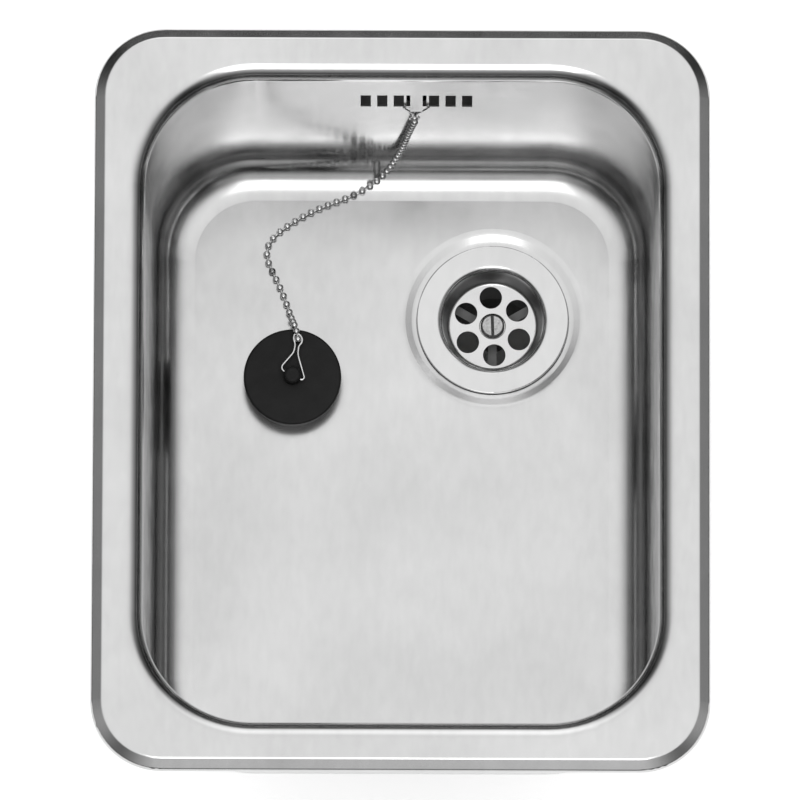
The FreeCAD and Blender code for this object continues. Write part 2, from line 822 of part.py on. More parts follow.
# Overflow pipe: a moulded rubber elbow pushed over the stub and the spigot, in one upright plane.
# Its own +X runs from the stub to the waste.
pipe = new_body("overflow_pipe")
pipe.Placement = Placement(Vector(0, 0, 0), Rotation(Vector(0, 0, 1), spigot_angle + 180.0))
place(pipe, cell("overflow_x"), stub_y, 0.0)
bend = cell("pipe_bend").number
pipe_high = box_low.number - 1.5
pipe_gap = 2.0
pipe_end = stub_distance - body_flange.number - pipe_gap
run_z = spigot_z.number
pipe_route = new_sketch(pipe, "pipe_route", "XZ_Plane")
elbow = Part.Circle(Vector(bend, run_z + bend, 0), Vector(0, 0, 1), bend)
pipe_route.addGeometry(Part.LineSegment(Vector(0, pipe_high, 0), Vector(0, run_z + bend, 0)), False)
pipe_route.addGeometry(Part.ArcOfCircle(elbow, math.pi, 1.5 * math.pi), False)
pipe_route.addGeometry(Part.LineSegment(Vector(bend, run_z, 0), Vector(pipe_end, run_z, 0)), False)
pipe_route.addConstraint(Sketcher.Constraint("Tangent", 0, 2, 1, 1))
pipe_route.addConstraint(Sketcher.Constraint("Tangent", 1, 2, 2, 1))
pipe_outline = new_sketch(pipe, "pipe_outline", "XY_Plane", pipe_high)
circle(pipe_outline, 0.0, 0.0, cell("spigot_radius") + 0.1 + cell("pipe_wall"))
pipe_solid = pipe.newObject("PartDesign::AdditivePipe", "pipe_solid")
pipe_solid.Profile = pipe_outline
pipe_solid.Spine = pipe_route
doc.recompute()
pipe_inside = new_sketch(pipe, "pipe_inside", "XY_Plane", pipe_high)
circle(pipe_inside, 0.0, 0.0, cell("spigot_radius") + 0.1)
pipe_cut = pipe.newObject("PartDesign::SubtractivePipe", "pipe_bore")
pipe_cut.Profile = pipe_inside
pipe_cut.Spine = pipe_route
doc.recompute()


def hose_clip(name):
    """A flat band round the local Z axis with a square worm housing on one side."""
    made = new_body(name)
    inner = cell("spigot_radius") + 0.15 + cell("pipe_wall")
    band_sketch = new_sketch(made, name + "_plan", "XY_Plane")
    circle(band_sketch, 0.0, 0.0, inner + cell("clip_band"))
    pad(made, name + "_band", band_sketch, cell("clip_band_width"))
    house = new_sketch(made, name + "_house_plan", "XY_Plane")
    rectangle(house, inner, inner + 5.5, -5.0, 5.0)
    pad(made, name + "_house", house, cell("clip_band_width"))
    hole = new_sketch(made, name + "_hole_plan", "XY_Plane", cell("clip_band_width") + 1)
    circle(hole, 0.0, 0.0, inner)
    pocket(made, name + "_hole", hole, cell("clip_band_width") + 2)
    worm = new_sketch(made, name + "_worm_plan", "XZ_Plane", 6.0)
    circle(worm, inner + 3.0, cell("clip_band_width") / 2, 2.4)
    pad(made, name + "_worm", worm, 12.0, backward=True)
    return made


upper_clip = hose_clip("hose_clip_upper")
upper_clip.Placement = Placement(Vector(0, 0, 0), Rotation(Vector(0, 0, 1), 180.0))
place(upper_clip, cell("overflow_x"), stub_y, box_low - cell("stub_length") + 3)
lower_clip = hose_clip("hose_clip_lower")
heading = Rotation(Vector(0, 0, 1), spigot_angle) * Rotation(Vector(0, 1, 0), 90.0)
reach = body_flange.number + pipe_gap + 4.0
lower_x = cell("waste_x").number + reach * math.cos(math.radians(spigot_angle))
lower_y = cell("waste_y").number + reach * math.sin(math.radians(spigot_angle))
lower_clip.Placement = Placement(Vector(lower_x, lower_y, run_z), heading)

# Clamps: on each long side two brackets welded to the wall, each with a screw that draws a claw
# up under the worktop.
foot = -cell("bracket_drop")
plate = cell("bracket_gauge")
for number, (side, end) in enumerate(((-1, -1), (1, -1), (-1, 1), (1, 1)), start=1):
    y = cell("clamp_spread") * end
    screw_x = (side_face(foot) + cell("clamp_reach")) * side
    bracket = new_body("clamp_bracket_%d" % number)
    bracket_sketch = new_sketch(bracket, "bracket_section_%d" % number, "XZ_Plane", -y)
    high = -cell("bracket_top")
    polygon(
        bracket_sketch,
        [
            (side_face(high) * side, high),
            ((side_face(high) + plate) * side, high),
            ((side_face(foot + plate) + plate) * side, foot + plate),
            ((side_face(foot) + cell("clamp_reach") + 5) * side, foot + plate),
            ((side_face(foot) + cell("clamp_reach") + 5) * side, foot),
            (side_face(foot) * side, foot),
        ],
    )
    pad(bracket, "bracket_sheet_%d" % number, bracket_sketch, cell("bracket_width"), symmetric=True)
    tapped = new_sketch(bracket, "bracket_hole_plan_%d" % number, "XY_Plane", foot + plate + 1)
    circle(tapped, screw_x, y, cell("clamp_screw_radius") + 0.1)
    pocket(bracket, "bracket_hole_%d" % number, tapped, plate + 2)

    claw = new_body("clamp_claw_%d" % number)
    claw_low = -cell("claw_drop")
    thick = cell("claw_gauge")
    heel = side_face(foot) + 0.8
    toe = side_face(foot) + cell("clamp_reach") + 15
    claw_sketch = new_sketch(claw, "claw_section_%d" % number, "XZ_Plane", -y)
    polygon(
        claw_sketch,
        [
            (heel * side, claw_low),
            (toe * side, claw_low),
            (toe * side, claw_low + cell("claw_toe")),
            ((toe - thick) * side, claw_low + cell("claw_toe") + 1.5),
            ((toe - thick) * side, claw_low + thick),
            ((heel + thick) * side, claw_low + thick),
            ((heel + thick) * side, claw_low + thick + 4),
            (heel * side, claw_low + thick + 4),
        ],
    )
    pad(claw, "claw_sheet_%d" % number, claw_sketch, cell("claw_width"), symmetric=True)
    passing = new_sketch(claw, "claw_hole_plan_%d" % number, "XY_Plane", claw_low + thick + 1)
    circle(passing, screw_x, y, cell("clamp_screw_radius") + 0.1)
    pocket(claw, "claw_hole_%d" % number, passing, thick + 2)

    shank = doc.addObject("Part::Cylinder", "clamp_shank_%d" % number)
    bind(shank, "Radius", cell("clamp_screw_radius"))
    bind(shank, "Height", cell("clamp_screw_length") + 0.5)
    place(shank, screw_x, y, claw_low - 0.5)
    head = doc.addObject("Part::Cylinder", "clamp_head_%d" % number)
    bind(head, "Radius", cell("clamp_head_radius"))
    bind(head, "Height", cell("clamp_head_height"))
    place(head, screw_x, y, claw_low - cell("clamp_head_height"))
    whole = doc.addObject("Part::Fuse", "clamp_blank_%d" % number)
    whole.Base = shank
    whole.Tool = head
    drive = doc.addObject("Part::Box", "clamp_slot_%d" % number)
    bind(drive, "Length", cell("clamp_head_radius") * 2 + 2)
    bind(drive, "Width", 1.2)
    bind(drive, "Height", 2.6)
    place(
        drive,
        screw_x - cell("clamp_head_radius") - 1,
        y - 0.6,
        claw_low - cell("clamp_head_height") - 1,
    )
    clamp_screw = doc.addObject("Part::Cut", "clamp_screw_%d" % number)
    clamp_screw.Base = whole
    clamp_screw.Tool = drive
    clamp_screw.Label = "clamp_screw_%d" % number

# Plug: a tapered rubber disc with a lug in the middle, drilled for the clip's two pins.
plug = new_body("plug")
plug.Placement = Placement(Vector(0, 0, 0), Rotation(Vector(0, 0, 1), cell("lug_turn").number))
place(plug, cell("plug_x"), cell("plug_y"), floor)
plug_sketch = new_sketch(plug, "plug_section", "XZ_Plane")
polygon(
    plug_sketch,
    [
        (0.0, 0.0),
        (cell("plug_foot_radius"), 0.0),
        (cell("plug_radius"), cell("plug_height")),
        (0.0, cell("plug_height")),
    ],
)
disc = revolve(plug, "plug_disc", plug_sketch)
disc = fillet(
    plug,
    "plug_edge",
    disc,
    lambda e: ring_edge(e, cell("plug_radius").number, cell("plug_height").number),
    1.2,
)
lug_sketch = new_sketch(plug, "lug_plan", "XY_Plane", cell("plug_height") - 1)
circle(lug_sketch, 0.0, 0.0, cell("lug_radius"))
lug = pad(plug, "lug", lug_sketch, cell("lug_height") + 1)
fillet(
    plug,
    "lug_round",
    lug,
    lambda e: ring_edge(e, cell("lug_radius").number, (cell("plug_height") + cell("lug_height")).number),
    1.8,
)
pivot_sketch = new_sketch(plug, "lug_hole_plan", "YZ_Plane", cell("lug_radius") + 2)
circle(pivot_sketch, 0.0, cell("plug_height") + cell("pivot_height"), cell("wire_radius") + 0.3)
pocket(plug, "lug_hole", pivot_sketch, cell("lug_radius") * 2 + 4)

# The two wire clips: one pinned in the plug's lug, lying back over the disc, the other hooked
# behind the bridge of the overflow and hanging a little off the wall.
plug_clip = doc.addObject("Part::Feature", "plug_clip")
plug_clip.Label = "plug_clip"
plug_clip.Shape = wire_clip(cell("plug_clip_skew").number)
pivot_z = (floor + cell("plug_height") + cell("pivot_height")).number
plug_clip.Placement = Placement(
    Vector(cell("plug_x").number, cell("plug_y").number, pivot_z),
    Rotation(Vector(0, 0, 1), cell("lug_turn").number),
)
wall_clip = doc.addObject("Part::Feature", "wall_clip")
wall_clip.Label = "wall_clip"
wall_clip.Shape = wire_clip(cell("wall_clip_skew").number)
hook_z = slot_low + 2.8
hook_y = back_face(hook_z) - cell("wire_radius") - 0.35
wall_clip.Placement = Placement(
    Vector(cell("overflow_x").number, hook_y.number, hook_z.number),
    Rotation(Vector(1, 0, 0), -90.0 - cell("wall_clip_lean").number),
)
print("wall clip pins at", cell("overflow_x").number, round(hook_y.number, 3), round(hook_z.number, 3))

# Ball chain: it hangs from the wall clip, lands on the floor's round, swings out to the left and
# climbs over the plug's edge to the plug clip. Heights are measured from the floor.
chain = cell("chain_radius").number
lay = chain + 0.2
ground = floor.number
route = [
    (5.6, 144.9, 83.2),
    (3.0, 144.6, 65.0),
    (0.6, 143.6, 44.0),
    (-2.8, 142.2, 24.0),
    (-8.0, 138.4, 9.0),
    (-15.7, 132.9, 3.0),
    (-26.5, 128.5, lay),
    (-39.5, 123.6, lay),
    (-52.0, 116.4, lay),
    (-59.8, 110.0, lay),
    (-62.6, 104.4, lay),
    (-61.9, 98.4, lay),
    (-58.8, 92.0, lay),
    (-55.4, 84.6, lay),
    (-52.6, 77.0, lay),
    (-51.2, 72.4, 3.6),
    (-50.2, 68.6, 8.0),
    (-49.4, 66.2, 12.6),
    (-48.5, 62.7, 14.4),
]


def lift(points):
    return [(x, y, ground + z) for x, y, z in points]


def between(one, two, share):
    return tuple(a + (b - a) * share for a, b in zip(one, two))


landed = between(route[5], route[6], 0.5)
parting = between(route[13], route[14], 0.48)
rising = between(route[13], route[14], 0.52)
for name, points in (
    ("chain_hanging", route[:6] + [landed]),
    ("chain_floor", [landed] + route[6:14] + [parting]),
    ("chain_tail", [rising] + route[14:]),
):
    piece = doc.addObject("Part::Feature", name)
    piece.Label = name
    piece.Shape = tube(lift(points), chain)

doc.recompute()
nodes = [
    "bowl",
    "rim_seal",
    "sound_pad",
    "strainer",
    "flange_gasket",
    "body_gasket",
    "waste_body",
    "screw_insert",
    "waste_screw",
    "overflow_box",
    "overflow_pipe",
    "hose_clip_upper",
    "hose_clip_lower",
    "wall_clip",
    "plug",
    "plug_clip",
    "chain_hanging",
    "chain_floor",
    "chain_tail",
]
for number in range(1, 5):
    nodes += ["clamp_bracket_%d" % number, "clamp_claw_%d" % number, "clamp_screw_%d" % number]

for made in doc.Objects:
    if "Invalid" in made.State or "Error" in made.State:
        raise RuntimeError("%s did not build: %s" % (made.Name, made.State))
for name in nodes:
    shape = doc.getObjectsByLabel(name)[0].Shape
    if shape.isNull() or not shape.isValid() or len(shape.Solids) != 1:
        raise RuntimeError("%s is not one sound solid" % name)
for name in nodes:
    doc.getObjectsByLabel(name)[0].Shape.exportStep("parts/%s.step" % name)
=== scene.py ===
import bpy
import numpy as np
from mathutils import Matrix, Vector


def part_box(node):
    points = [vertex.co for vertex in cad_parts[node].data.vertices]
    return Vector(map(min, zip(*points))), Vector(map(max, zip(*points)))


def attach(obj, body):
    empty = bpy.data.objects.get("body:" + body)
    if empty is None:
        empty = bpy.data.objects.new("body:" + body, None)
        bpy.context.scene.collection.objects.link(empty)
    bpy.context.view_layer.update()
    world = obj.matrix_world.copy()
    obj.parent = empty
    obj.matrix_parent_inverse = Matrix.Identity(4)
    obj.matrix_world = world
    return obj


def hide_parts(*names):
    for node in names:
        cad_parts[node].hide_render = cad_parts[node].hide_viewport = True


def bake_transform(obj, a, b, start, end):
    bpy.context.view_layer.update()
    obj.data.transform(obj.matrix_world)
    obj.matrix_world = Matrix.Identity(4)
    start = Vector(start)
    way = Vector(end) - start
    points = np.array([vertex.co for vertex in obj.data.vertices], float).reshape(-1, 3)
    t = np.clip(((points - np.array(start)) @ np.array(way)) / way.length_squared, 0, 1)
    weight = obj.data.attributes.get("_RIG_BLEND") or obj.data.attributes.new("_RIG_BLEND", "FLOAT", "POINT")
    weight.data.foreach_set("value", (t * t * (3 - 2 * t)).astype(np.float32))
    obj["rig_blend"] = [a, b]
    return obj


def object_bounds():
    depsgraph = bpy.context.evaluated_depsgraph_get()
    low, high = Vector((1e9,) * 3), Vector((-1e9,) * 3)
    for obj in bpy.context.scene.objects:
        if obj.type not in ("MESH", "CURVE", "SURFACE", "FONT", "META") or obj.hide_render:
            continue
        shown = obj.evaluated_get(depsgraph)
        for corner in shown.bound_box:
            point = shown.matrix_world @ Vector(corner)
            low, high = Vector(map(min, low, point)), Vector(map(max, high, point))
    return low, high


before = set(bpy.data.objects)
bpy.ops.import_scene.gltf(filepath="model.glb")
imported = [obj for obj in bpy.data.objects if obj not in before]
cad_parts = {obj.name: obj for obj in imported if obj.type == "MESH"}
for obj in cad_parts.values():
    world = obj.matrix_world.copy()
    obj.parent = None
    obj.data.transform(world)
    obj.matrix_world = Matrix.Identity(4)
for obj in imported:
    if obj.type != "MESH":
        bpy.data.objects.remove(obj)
cad_box = [list(corner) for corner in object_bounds()]

import math

import bpy
import numpy as np
from mathutils import Matrix, Vector


# The bowl is one deep-drawn sheet of satin stainless steel with a bevelled rim, a rolled mouth and a
# dished seat for the waste. It hangs in the worktop by its rim.

mm = 0.001
noise_low = 0.3
noise_high = 0.7


def new_material(name, shade, roughness, metallic):
    """A principled material of one colour, and the object coordinates that its patterns are laid on."""
    material = bpy.data.materials.new(name)
    material.use_nodes = True
    tree = material.node_tree
    shader = tree.nodes["Principled BSDF"]
    shader.inputs["Base Color"].default_value = (*shade, 1.0)
    shader.inputs["Roughness"].default_value = roughness
    shader.inputs["Metallic"].default_value = metallic
    place = tree.nodes.new("ShaderNodeTexCoord")
    return material, tree, shader, place.outputs["Object"]


def add_noise(tree, place, per_metre, detail, stretch=(1.0, 1.0, 1.0)):
    """A noise of about that many blotches a metre, drawn out along the axes whose stretch is small."""
    mapping = tree.nodes.new("ShaderNodeMapping")
    mapping.inputs["Scale"].default_value = stretch
    tree.links.new(place, mapping.inputs["Vector"])
    noise = tree.nodes.new("ShaderNodeTexNoise")
    noise.inputs["Scale"].default_value = per_metre
    noise.inputs["Detail"].default_value = detail
    tree.links.new(mapping.outputs["Vector"], noise.inputs["Vector"])
    return noise.outputs["Fac"]


def map_range(tree, value, start, end, low, high):
    """A value that runs straight from low to high while another goes from start to end."""
    node = tree.nodes.new("ShaderNodeMapRange")
    node.inputs["From Min"].default_value = start
    node.inputs["From Max"].default_value = end
    node.inputs["To Min"].default_value = low
    node.inputs["To Max"].default_value = high
    tree.links.new(value, node.inputs["Value"])
    return node.outputs["Result"]


def sum_node(tree, operation, first, second=0.0):
    """The result of one sum, whose two terms are sockets or numbers."""
    node = tree.nodes.new("ShaderNodeMath")
    node.operation = operation
    for socket, term in zip(node.inputs, (first, second)):
        if isinstance(term, float):
            socket.default_value = term
        else:
            tree.links.new(term, socket)
    return node.outputs["Value"]


def vary_polish(tree, pattern, low, high, shader):
    """Drive the roughness from low to high over the range that a noise mostly keeps to."""
    tree.links.new(map_range(tree, pattern, noise_low, noise_high, low, high), shader.inputs["Roughness"])


def tint(tree, pattern, dark, light, shader):
    """Colour the shader from dark to light over the range that a noise mostly keeps to."""
    ramp = tree.nodes.new("ShaderNodeValToRGB")
    ends = ramp.color_ramp.elements
    for end, position, colour in zip(ends, (noise_low, noise_high), (dark, light)):
        end.position = position
        end.color = (*colour, 1.0)
    tree.links.new(pattern, ramp.inputs["Fac"])
    tree.links.new(ramp.outputs["Color"], shader.inputs["Base Color"])


def emboss(tree, pattern, depth, shader, under=None):
    """Raise the surface by depth metres where a pattern is 1, on top of the relief given as under."""
    bump = tree.nodes.new("ShaderNodeBump")
    bump.inputs["Strength"].default_value = 1.0
    bump.inputs["Distance"].default_value = depth
    tree.links.new(pattern, bump.inputs["Height"])
    if under is not None:
        tree.links.new(under, bump.inputs["Normal"])
    tree.links.new(bump.outputs["Normal"], shader.inputs["Normal"])
    return bump.outputs["Normal"]


def sheet_steel(name, grey, roughness, waves):
    """Rolled stainless sheet: neutral metal in clouds and short streaks, a polish that varies a little, the
    shallow waves left by the press and a fine grain."""
    material, tree, shader, place = new_material(name, (grey, grey, grey), roughness, 1.0)
    contrast = 0.045
    cloud_share = 0.7
    clouds = add_noise(tree, place, per_metre=16.0, detail=3.0)
    streaks = add_noise(tree, place, per_metre=240.0, detail=5.0, stretch=(1.0, 0.4, 0.4))
    mottle = sum_node(
        tree, "ADD", sum_node(tree, "MULTIPLY", clouds, cloud_share),
        sum_node(tree, "MULTIPLY", streaks, 1.0 - cloud_share))
    low = grey - contrast
    high = grey + contrast
    tint(tree, mottle, (low, low, low), (high, high, high), shader)
    polish_spread = 0.03
    smears = add_noise(tree, place, per_metre=60.0, detail=2.0)
    vary_polish(tree, smears, roughness - polish_spread, roughness + polish_spread, shader)
    relief = emboss(tree, add_noise(tree, place, per_metre=22.0, detail=1.0), waves, shader)
    grain = add_noise(tree, place, per_metre=1400.0, detail=2.0, stretch=(1.0, 0.08, 0.2))
    emboss(tree, grain, 0.004 * mm, shader, relief)
    return material, tree, shader


def level_ramp(tree, share, shares_and_levels):
    """A grey level that runs straight between the levels given at rising shares from 0 to 1."""
    ramp = tree.nodes.new("ShaderNodeValToRGB")
    while len(ramp.color_ramp.elements) < len(shares_and_levels):
        ramp.color_ramp.elements.new(0.5)
    for element, (position, level) in zip(ramp.color_ramp.elements, shares_and_levels):
        element.position = position
        element.color = (level, level, level, 1.0)
    tree.links.new(share, ramp.inputs["Fac"])
    return ramp.outputs["Color"]


def band_by_height(tree, heights_and_levels):
    """A level that follows the height of a point, running straight between the given heights."""
    place = tree.nodes.new("ShaderNodeTexCoord")
    split = tree.nodes.new("ShaderNodeSeparateXYZ")
    tree.links.new(place.outputs["Object"], split.inputs["Vector"])
    low = heights_and_levels[0][0]
    high = heights_and_levels[-1][0]
    share = map_range(tree, split.outputs["Z"], low, high, 0.0, 1.0)
    shares_and_levels = [((height - low) / (high - low), level) for height, level in heights_and_levels]
    return level_ramp(tree, share, shares_and_levels)


def finish_node(node, material):
    """Give a CAD node its finish in place of the plain one it was loaded with."""
    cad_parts[node].data.materials[0] = material


bowl_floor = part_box("plug")[0].z
bowl_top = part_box("bowl")[1].z
floor_satin = 0.09
fillet_satin = 0.02
wall_satin = 0.07
rim_satin = 0.04
bowl_steel, tree, shader = sheet_steel("bowl_steel", grey=0.56, roughness=0.13, waves=0.10 * mm)
satin = band_by_height(tree, [
    (bowl_floor - 6.0 * mm, floor_satin), (bowl_floor + 0.5 * mm, floor_satin),
    (bowl_floor + 14.0 * mm, fillet_satin), (bowl_floor + 45.0 * mm, fillet_satin),
    (bowl_floor + 75.0 * mm, wall_satin), (bowl_top - 12.0 * mm, wall_satin),
    (bowl_top - 7.0 * mm, 0.0), (bowl_top, rim_satin)])
polish = shader.inputs["Roughness"].links[0].from_socket
tree.links.new(sum_node(tree, "ADD", polish, satin), shader.inputs["Roughness"])
finish_node("bowl", bowl_steel)


# The seal is a strip of closed-cell grey foam, cut as a frame and stuck under the rim. The clamps press
# it on to the worktop.

seal_foam, tree, shader, place = new_material("seal_foam", (0.20, 0.20, 0.21), 0.9, 0.0)
cells = add_noise(tree, place, per_metre=1500.0, detail=3.0)
tint(tree, cells, (0.13, 0.13, 0.14), (0.26, 0.26, 0.27), shader)
emboss(tree, cells, 0.15 * mm, shader)
finish_node("rim_seal", seal_foam)


# The sound pad is a sheet of dark bitumen felt, stuck under the bowl's floor to deaden the noise of
# running water.

damping_bitumen, tree, shader, place = new_material("damping_bitumen", (0.03, 0.03, 0.032), 0.8, 0.0)
crumbs = add_noise(tree, place, per_metre=420.0, detail=5.0)
tint(tree, crumbs, (0.018, 0.018, 0.02), (0.05, 0.05, 0.052), shader)
emboss(tree, crumbs, 0.25 * mm, shader)
finish_node("sound_pad", damping_bitumen)


# The strainer is a pressed stainless flange and cup with six round holes. It sits on its gasket in the
# bowl's seat and the middle screw draws it down. The cup's wall is dull, and painted shade darkens it.

def multiply_colours(tree, first, second):
    """The product of two colours. Inputs 6 and 7 take colours, and output 2 gives one."""
    mix = tree.nodes.new("ShaderNodeMix")
    mix.data_type = "RGBA"
    mix.blend_type = "MULTIPLY"
    mix.inputs["Factor"].default_value = 1.0
    tree.links.new(first, mix.inputs[6])
    tree.links.new(second, mix.inputs[7])
    return mix.outputs[2]


def darken(tree, shader, level):
    """Multiply the colour already linked to the shader by a level."""
    clean = shader.inputs["Base Color"].links[0].from_socket
    tree.links.new(multiply_colours(tree, clean, level), shader.inputs["Base Color"])


strainer_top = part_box("strainer")[1].z
grid_under = strainer_top - 15.2 * mm
grid_face = strainer_top - 13.9 * mm
cup_foot = strainer_top - 13.0 * mm
cup_mouth = strainer_top - 1.2 * mm
strainer_steel, tree, shader = sheet_steel("strainer_steel", grey=0.58, roughness=0.15, waves=0.02 * mm)
# Painted shade: the cup wall's colour is darkened towards its foot, down to a quarter at the foot.
darken(tree, shader, band_by_height(tree, [
    (grid_under, 1.0), (grid_face, 1.0), (cup_foot, 0.25), (strainer_top - 5.0 * mm, 0.4),
    (cup_mouth, 1.0), (strainer_top, 1.0)]))
dullness = band_by_height(tree, [
    (grid_under, 0.18), (grid_face, 0.18), (cup_foot, 0.45), (strainer_top - 4.0 * mm, 0.45),
    (cup_mouth, 0.15), (strainer_top, 0.15)])
tree.links.new(dullness, shader.inputs["Roughness"])
finish_node("strainer", strainer_steel)


# Two black rubber rings seal the waste. One is squeezed under the strainer's flange, the other between
# the bowl and the waste body.

gasket_rubber, tree, shader, place = new_material("gasket_rubber", (0.02, 0.02, 0.02), 0.7, 0.0)
bloom = add_noise(tree, place, per_metre=300.0, detail=4.0)
tint(tree, bloom, (0.014, 0.014, 0.014), (0.035, 0.035, 0.034), shader)
emboss(tree, bloom, 0.03 * mm, shader)
finish_node("flange_gasket", gasket_rubber)
finish_node("body_gasket", gasket_rubber)


# The waste body is a grey moulded cup with a threaded outlet tail below, an overflow spigot at its side
# and three arms that hold the brass insert the screw threads into.

def loft_faces(rings, sides):
    """The faces of a closed loft: quads from each ring of points to the next, and a cap on both ends."""
    side = np.arange(sides)
    following = (side + 1) % sides
    first = np.arange(rings - 1)[:, None] * sides
    quads = np.stack([
        first + side, first + sides + side, first + sides + following, first + following], axis=-1)
    last = (rings - 1) * sides
    return quads.reshape(-1, 4).tolist() + [side.tolist(), (last + side[::-1]).tolist()]


def wind_thread(centre, low, high, core, crest, pitch, around):
    """One right-hand ridge wound on an upright core: a four-sided profile carried along the helix that
    climbs one pitch a turn. The ridge grows out of the core over its first half turn and sinks back over
    its last."""
    turns = (high - low) / pitch - 1.0
    turn = np.linspace(0.0, 2.0 * np.pi * turns, round(turns * around) + 1)
    swell = np.clip(np.minimum(turn, turn[-1] - turn) / np.pi, 0.05, 1.0)
    foot = core - 0.3 * (crest - core)
    tip = foot + (crest - foot) * swell
    reach = np.stack([np.full_like(tip, foot), tip, tip, np.full_like(tip, foot)], axis=-1)
    rise = low + pitch * (0.5 + turn / (2.0 * np.pi))
    flanks = pitch * np.array([-0.44, -0.1, 0.1, 0.44])
    points = np.stack([
        centre.x + reach * np.cos(turn)[:, None], centre.y + reach * np.sin(turn)[:, None],
        rise[:, None] + flanks], axis=-1)
    return points.reshape(-1, 3), loft_faces(len(turn), len(flanks))


def join_shells(name, shells, material):
    """One piece from closed shells, each given as its points and faces. Steep edges stay sharp."""
    points = []
    faces = []
    for shell_points, shell_faces in shells:
        faces += [[len(points) + corner for corner in face] for face in shell_faces]
        points += shell_points.tolist()
    mesh = bpy.data.meshes.new(name)
    mesh.from_pydata(points, [], faces)
    mesh.shade_smooth()
    mesh.set_sharp_from_angle(angle=math.radians(30.0))
    mesh.materials.append(material)
    piece = bpy.data.objects.new(name, mesh)
    bpy.context.scene.collection.objects.link(piece)
    return piece


waste_plastic, tree, shader, place = new_material("waste_plastic", (0.2, 0.2, 0.2), 0.4, 0.0)
flow = add_noise(tree, place, per_metre=35.0, detail=3.0)
tint(tree, flow, (0.17, 0.17, 0.17), (0.23, 0.23, 0.23), shader)
vary_polish(tree, add_noise(tree, place, per_metre=240.0, detail=3.0), 0.34, 0.5, shader)
finish_node("waste_body", waste_plastic)

outlet_radius = 23.9 * mm
outlet_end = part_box("waste_body")[0].z
outlet_ridge = 0.8 * mm
outlet_pitch = 2.3 * mm
gasket_low, gasket_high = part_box("body_gasket")
waste_axis = 0.5 * (gasket_low + gasket_high)
outlet_thread = join_shells("outlet_thread", [wind_thread(
    waste_axis, outlet_end + 1.0 * mm, outlet_end + 25.0 * mm, outlet_radius, outlet_radius + outlet_ridge,
    outlet_pitch, around=48)], waste_plastic)
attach(outlet_thread, "sink")

insert_brass, tree, shader, place = new_material("insert_brass", (0.72, 0.52, 0.22), 0.3, 1.0)
tarnish = add_noise(tree, place, per_metre=260.0, detail=3.0)
tint(tree, tarnish, (0.62, 0.43, 0.17), (0.78, 0.58, 0.27), shader)
finish_node("screw_insert", insert_brass)


# The waste screw is a slotted stainless screw through the strainer's middle into the insert. Its slot and
# everything below it are painted dark as shade.

screw_steel, tree, shader, place = new_material("screw_steel", (0.45, 0.45, 0.45), 0.32, 1.0)
wear = add_noise(tree, place, per_metre=700.0, detail=3.0)
tint(tree, wear, (0.3, 0.3, 0.3), (0.55, 0.55, 0.55), shader)
vary_polish(tree, wear, 0.24, 0.4, shader)
emboss(tree, wear, 0.03 * mm, shader)
screw_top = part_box("waste_screw")[1].z
slot_painted_shade = 0.12
# Painted shade: the colour is darkened from just under the head's top downwards, in the slot.
darken(tree, shader, band_by_height(tree, [
    (screw_top - 2.0 * mm, slot_painted_shade), (screw_top - 0.9 * mm, slot_painted_shade),
    (screw_top - 0.5 * mm, 1.0), (screw_top, 1.0)]))
finish_node("waste_screw", screw_steel)


# The overflow box is a drawn steel hood behind the slots. A black rubber elbow takes its water round
# to the waste body, held at each end by a band of bright steel.

hood_steel = sheet_steel("hood_steel", grey=0.36, roughness=0.3, waves=0.05 * mm)[0]
finish_node("overflow_box", hood_steel)

pipe_rubber, tree, shader, place = new_material("pipe_rubber", (0.025, 0.025, 0.026), 0.55, 0.0)
skin = add_noise(tree, place, per_metre=180.0, detail=4.0)
tint(tree, skin, (0.018, 0.018, 0.019), (0.04, 0.04, 0.041), shader)
emboss(tree, skin, 0.06 * mm, shader)
finish_node("overflow_pipe", pipe_rubber)

band_steel, tree, shader, place = new_material("band_steel", (0.7, 0.7, 0.7), 0.24, 1.0)
vary_polish(tree, add_noise(tree, place, per_metre=350.0, detail=3.0), 0.18, 0.34, shader)
plating = add_noise(tree, place, per_metre=220.0, detail=3.0)
tint(tree, plating, (0.6, 0.6, 0.6), (0.74, 0.74, 0.74), shader)
finish_node("hose_clip_upper", band_steel)
finish_node("hose_clip_lower", band_steel)


# Four clamps hold the rim down on the worktop: a bracket on the bowl's side, a claw and a slotted screw
# that draws the claw up. They are of zinc-plated steel.

def turn_bar(centre, heights_and_radii, around):
    """A bar turned about an upright axis: circles of the given radii, listed from the top down."""
    height, radius = np.array(heights_and_radii).T
    turn = np.linspace(0.0, 2.0 * np.pi, around, endpoint=False)
    points = np.stack([
        centre.x + np.outer(radius, np.cos(turn)), centre.y + np.outer(radius, np.sin(turn)),
        np.outer(height, np.ones(around))], axis=-1)
    return points.reshape(-1, 3), loft_faces(len(height), around)


def head_half(centre, heights_and_radii, slot_half, side, steps):
    """One half of a slotted screw head: arcs of the given radii, listed from the top down, each running
    from one edge of the slot round to the other. The half lies towards +Y at side 1, towards -Y at -1."""
    height, radius = np.array(heights_and_radii).T
    edge = np.arcsin(slot_half / radius)
    turn = np.linspace(edge, np.pi - edge, steps, axis=-1)
    reach = side * radius[:, None]
    points = np.stack([
        centre.x + reach * np.cos(turn), centre.y + reach * np.sin(turn),
        np.outer(height, np.ones(steps))], axis=-1)
    return points.reshape(-1, 3), loft_faces(len(height), steps)


clamp_steel, tree, shader, place = new_material("clamp_steel", (0.6, 0.61, 0.62), 0.35, 1.0)
spangle = tree.nodes.new("ShaderNodeTexVoronoi")
spangle.inputs["Scale"].default_value = 420.0
tree.links.new(place, spangle.inputs["Vector"])
vary_polish(tree, spangle.outputs["Distance"], 0.28, 0.46, shader)
zinc = add_noise(tree, place, per_metre=120.0, detail=3.0)
tint(tree, zinc, (0.54, 0.55, 0.56), (0.66, 0.67, 0.68), shader)

